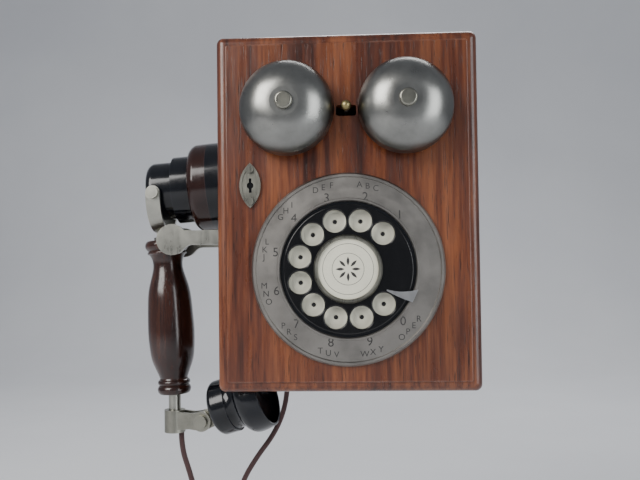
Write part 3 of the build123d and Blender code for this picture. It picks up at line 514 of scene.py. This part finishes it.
def floor_paint():
    paint = Paint("floor", Roughness=0.85)
    cloud = paint.noise((1.4, 1.4, 1.4), 4.0)
    weave = paint.noise((90, 90, 90), 3.0)
    spread = paint.span(cloud, 0.3, 0.7)
    base = paint.ramp(spread, (0.0, (0.70, 0.71, 0.74)), (1.0, (0.78, 0.79, 0.81)))
    paint.put(Base_Color=base, Normal=paint.bump(weave, 0.0004, 0.2))
    return paint


PEWTER = (0.28, 0.275, 0.235)
DOOR = {"dark": (0.030, 0.008, 0.005), "middle": (0.115, 0.030, 0.013), "light": (0.24, 0.076, 0.028)}
HANDLE = {"dark": (0.008, 0.003, 0.002), "middle": (0.030, 0.009, 0.006), "light": (0.075, 0.024, 0.013)}


def box_centre(node):
    low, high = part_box(node)
    return (Vector(low) + Vector(high)) / 2


def make_paints():
    """A material for each of the record's slots, and for the added pieces."""
    dial = box_centre("number_ring")
    made = {
        "door_wood": wood("door_wood", **DOOR),
        "case_wood": wood("case_wood", **DOOR),
        "handle_wood": wood("handle_wood", **HANDLE, gloss=(0.14, 0.26), worn=0.25),
        "back_wood": plywood_paint(),
        "ring_brown": gloss_plastic("ring_brown", (0.016, 0.005, 0.004), (0.040, 0.014, 0.009)),
        "black_plastic": gloss_plastic("black_plastic", (0.003, 0.0035, 0.005), (0.008, 0.010, 0.016)),
        "black_dial": gloss_plastic("black_dial", (0.002, 0.002, 0.0025), (0.006, 0.006, 0.007)),
        "pewter": brushed("pewter", PEWTER),
        "dial_pewter": spun("dial_pewter", (0.27, 0.255, 0.235), (dial.x, dial.z), (0.34, 0.46)),
        "nickel": brushed("nickel", (0.40, 0.395, 0.35), 0.2, (0.26, 0.38), edge_highlight=0.6),
        "steel": brushed("steel", (0.50, 0.50, 0.50), 0.18),
        "brass": brushed("brass", (0.31, 0.26, 0.12), 0.35, (0.3, 0.48)),
        "cream": matte("cream", (0.72, 0.70, 0.57), 0.06, (0.35, 0.5), (700, 700, 700), 0.00001, 0.1),
        "insulator": matte("insulator", (0.15, 0.07, 0.035), 0.3),
        "grommet_rubber": matte("grommet_rubber", (0.025, 0.016, 0.016), 0.3, (0.6, 0.8)),
        "cord_cloth": cord_paint(),
        "copper": winding_paint(),
        "floor": floor_paint(),
        "ink": matte("ink", (0.035, 0.033, 0.032), 0.2, (0.45, 0.6), (900, 900, 900), 0.00001, 0.0),
    }
    for side in ("left", "right"):
        gong = box_centre(f"gong_{side}")
        name = f"gong_{side}_pewter"
        # the gongs get painted shade, darker towards their rims from 22.5 to 27.5 mm
        made[name] = spun(
            name, (0.27, 0.27, 0.255), (gong.x, gong.z), (0.26, 0.34), 2200, (0.0225, 0.0275)
        )
    return {name: paint.material for name, paint in made.items()}


PAINTS = make_paints()
OWN_PAINT = {"gong_left": "gong_left_pewter", "gong_right": "gong_right_pewter"}


def paint_nodes():
    """Puts each CAD node's material in its slots."""
    for part in record["subparts"]:
        name = part["node"]
        paint = PAINTS[OWN_PAINT.get(name, part["material_slot"])]
        mesh = nodes[name].data
        if not mesh.materials:
            mesh.materials.append(paint)
        for i in range(len(mesh.materials)):
            mesh.materials[i] = paint


# ---------------------------------------------------------------- lettering and small parts
FIRST_HOLE, HOLE_STEP = 45, 30  # degrees; the finger holes run anticlockwise from the right
FINGER_CIRCLE = 29 * MM
DIGIT_RADIUS, DIGIT_SIZE = 43.5 * MM, 7.4 * MM
LETTER_RADIUS, LETTER_SIZE, LETTER_GAP = 49.9 * MM, 5.0 * MM, 5.6
LETTERING_PROUD = 0.03 * MM  # how far the lettering stands in front of the ring
FACE_OUTER, FACE_INNER = 53.6 * MM, 41.65 * MM  # the number ring's sloping face


def ring_face_y(radius):
    """The front of the number ring's sloping face at that radius from its centre."""
    low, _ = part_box("number_ring")
    share = min(max((FACE_OUTER - radius) / (FACE_OUTER - FACE_INNER), 0), 1)
    return low[1] + (0.9 - 0.5 * share) * MM


def text_mesh(text, size):
    curve = bpy.data.curves.new("text", "FONT")
    curve.body = text
    curve.size = size
    curve.align_x = "CENTER"
    curve.align_y = "CENTER"
    curve.resolution_u = 4
    holder = add_object("text", curve)
    mesh = bpy.data.meshes.new_from_object(holder)
    bpy.data.objects.remove(holder)
    bpy.data.curves.remove(curve)
    return mesh


def add_lettering(name, items, size):
    """Letters and digits on the ring's face, upright, each centred at its radius and angle."""
    centre = box_centre("number_ring")
    whole = bmesh.new()
    for text, radius, angle in items:
        turn = math.radians(angle)
        x = centre.x + radius * math.cos(turn)
        z = centre.z + radius * math.sin(turn)
        mesh = text_mesh(text, size)
        across = [vertex.co.x for vertex in mesh.vertices]
        up = [vertex.co.y for vertex in mesh.vertices]
        middle_x = (min(across) + max(across)) / 2
        middle_y = (min(up) + max(up)) / 2
        for vertex in mesh.vertices:
            px = x + vertex.co.x - middle_x
            pz = z + vertex.co.y - middle_y
            away = math.hypot(px - centre.x, pz - centre.z)
            vertex.co = (px, ring_face_y(away) - LETTERING_PROUD, pz)
        whole.from_mesh(mesh)
        bpy.data.meshes.remove(mesh)
    piece = finish_mesh(name, whole, smooth=False)
    piece.data.materials.append(PAINTS["ink"])
    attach(piece, "door")


def add_dial_marks():
    """The digits beside the finger holes, and the letters outside the digits 2 to 0."""
    digits = [(text, DIGIT_RADIUS, 46 + HOLE_STEP * i) for i, text in enumerate("1234567890")]
    add_lettering("dial_digits", digits, DIGIT_SIZE)
    groups = ["ABC", "DEF", "GHI", "JKL", "MNO", "PRS", "TUV", "WXY", "OPER"]
    letters = []
    for i, group in enumerate(groups):
        middle = 76 + HOLE_STEP * i
        for j, letter in enumerate(group):
            place = j - (len(group) - 1) / 2
            upper = math.sin(math.radians(middle)) > 0
            turn = -place * LETTER_GAP if upper or i == 3 else place * LETTER_GAP
            letters.append((letter, LETTER_RADIUS, middle + turn))
    add_lettering("dial_letters", letters, LETTER_SIZE)


def lathe(name, profile, segments=64):
    """A turned piece about the Y axis, from (radius, y) points, its axis through the origin."""
    mesh = bmesh.new()
    rings = []
    for radius, y in profile:
        if radius == 0:
            rings.append([mesh.verts.new((0, y, 0))] * segments)
            continue
        ring = []
        for step in range(segments):
            turn = 2 * math.pi * step / segments
            ring.append(mesh.verts.new((radius * math.cos(turn), y, radius * math.sin(turn))))
        rings.append(ring)
    for first, second in zip(rings, rings[1:]):
        for step in range(segments):
            after = (step + 1) % segments
            corners = [first[step], first[after], second[after], second[step]]
            corners = [v for i, v in enumerate(corners) if v not in corners[:i]]
            mesh.faces.new(corners)
    bmesh.ops.recalc_face_normals(mesh, faces=mesh.faces)
    return finish_mesh(name, mesh)


def add_finger_discs():
    """A cream disc behind each finger hole, turned with fine grooves, with a black stud in it."""
    face_low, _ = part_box("dial_face")
    centre = box_centre("number_ring")
    for i in range(10):
        turn = math.radians(FIRST_HOLE + HOLE_STEP * i)
        x = centre.x + FINGER_CIRCLE * math.cos(turn)
        z = centre.z + FINGER_CIRCLE * math.sin(turn)
        profile = [(7.3, 0.0), (7.3, 0.55), (6.9, 0.75), (6.3, 0.72)]
        for groove in range(4):
            outer = 5.7 - groove * 1.05
            profile += [(outer, 0.62), (outer - 0.25, 0.42), (outer - 0.5, 0.6)]
        profile += [(1.9, 0.5), (1.5, 0.3), (0, 0.3)]
        disc = lathe(f"finger_disc_{(i + 1) % 10}", [(r * MM, -h * MM) for r, h in profile])
        disc.location = (x, face_low[1], z)
        disc.data.materials.append(PAINTS["cream"])
        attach(disc, "door")
        stud = [(1.3, 0.2), (1.3, 0.6), (1.1, 0.85), (0.6, 1.0), (0, 1.05)]
        dot = lathe(f"finger_dot_{(i + 1) % 10}", [(r * MM, -h * MM) for r, h in stud], 32)
        dot.location = (x, face_low[1], z)
        dot.data.materials.append(PAINTS["black_dial"])
        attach(dot, "door")


def flat_shape(name, outlines, y):
    """Flat filled outlines in a plane of that Y, facing the viewer."""
    mesh = bmesh.new()
    for outline in outlines:
        mesh.faces.new([mesh.verts.new((x, y, z)) for x, z in outline])
    bmesh.ops.recalc_face_normals(mesh, faces=mesh.faces)
    return finish_mesh(name, mesh, smooth=False)


def add_card_mark():
    """A plain ring near the card's edge and an eight-petalled rosette in its middle."""
    card_low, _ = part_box("number_card")
    centre = box_centre("number_card")
    y = card_low[1] - 0.02 * MM
    petals = []
    for i in range(8):
        turn = math.pi / 4 * i
        petal = []
        for step in range(16):
            share = step / 8
            if share <= 1:
                along, across = share, 0.16 * math.sin(math.pi * share)
            else:
                along, across = 2 - share, -0.16 * math.sin(math.pi * (2 - share))
            reach = (2.0 + 5.2 * along) * MM
            side = 5.2 * across * MM
            petal.append((
                centre.x + reach * math.cos(turn) - side * math.sin(turn),
                centre.z + reach * math.sin(turn) + side * math.cos(turn),
            ))
        petals.append(petal)
    mark = flat_shape("card_rosette", petals, y)
    ring = bmesh.new()
    for inner, outer in ((14.6, 14.85), (9.1, 9.35)):
        loops = []
        for radius in (inner, outer):
            loop = []
            for step in range(96):
                turn = 2 * math.pi * step / 96
                x = centre.x + radius * MM * math.cos(turn)
                z = centre.z + radius * MM * math.sin(turn)
                loop.append(ring.verts.new((x, y, z)))
            loops.append(loop)
        for step in range(96):
            after = (step + 1) % 96
            ring.faces.new((loops[0][step], loops[0][after], loops[1][after], loops[1][step]))
    lines = finish_mesh("card_rings", ring, smooth=False)
    for piece in (mark, lines):
        piece.data.materials.append(PAINTS["ink"])
        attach(piece, "dial")


def add_keyhole_shade():
    """Painted shade: a black sheet for the dark inside of the lock, seen through the keyhole."""
    low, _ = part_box("door_panel")
    centre = box_centre("keyhole_escutcheon")
    outline = []
    for step in range(32):
        turn = 2 * math.pi * step / 32
        outline.append((centre.x + 3.4 * MM * math.cos(turn), centre.z + 6.5 * MM * math.sin(turn)))
    shade = flat_shape("keyhole_shade", [outline], low[1] - 0.02 * MM)
    shade.data.materials.append(PAINTS["black_dial"])
    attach(shade, "door")


# ---------------------------------------------------------------- putting it together
add_camera()
add_cord()
add_studio()
paint_nodes()
add_dial_marks()
add_finger_discs()
add_card_mark()
add_keyhole_shade()
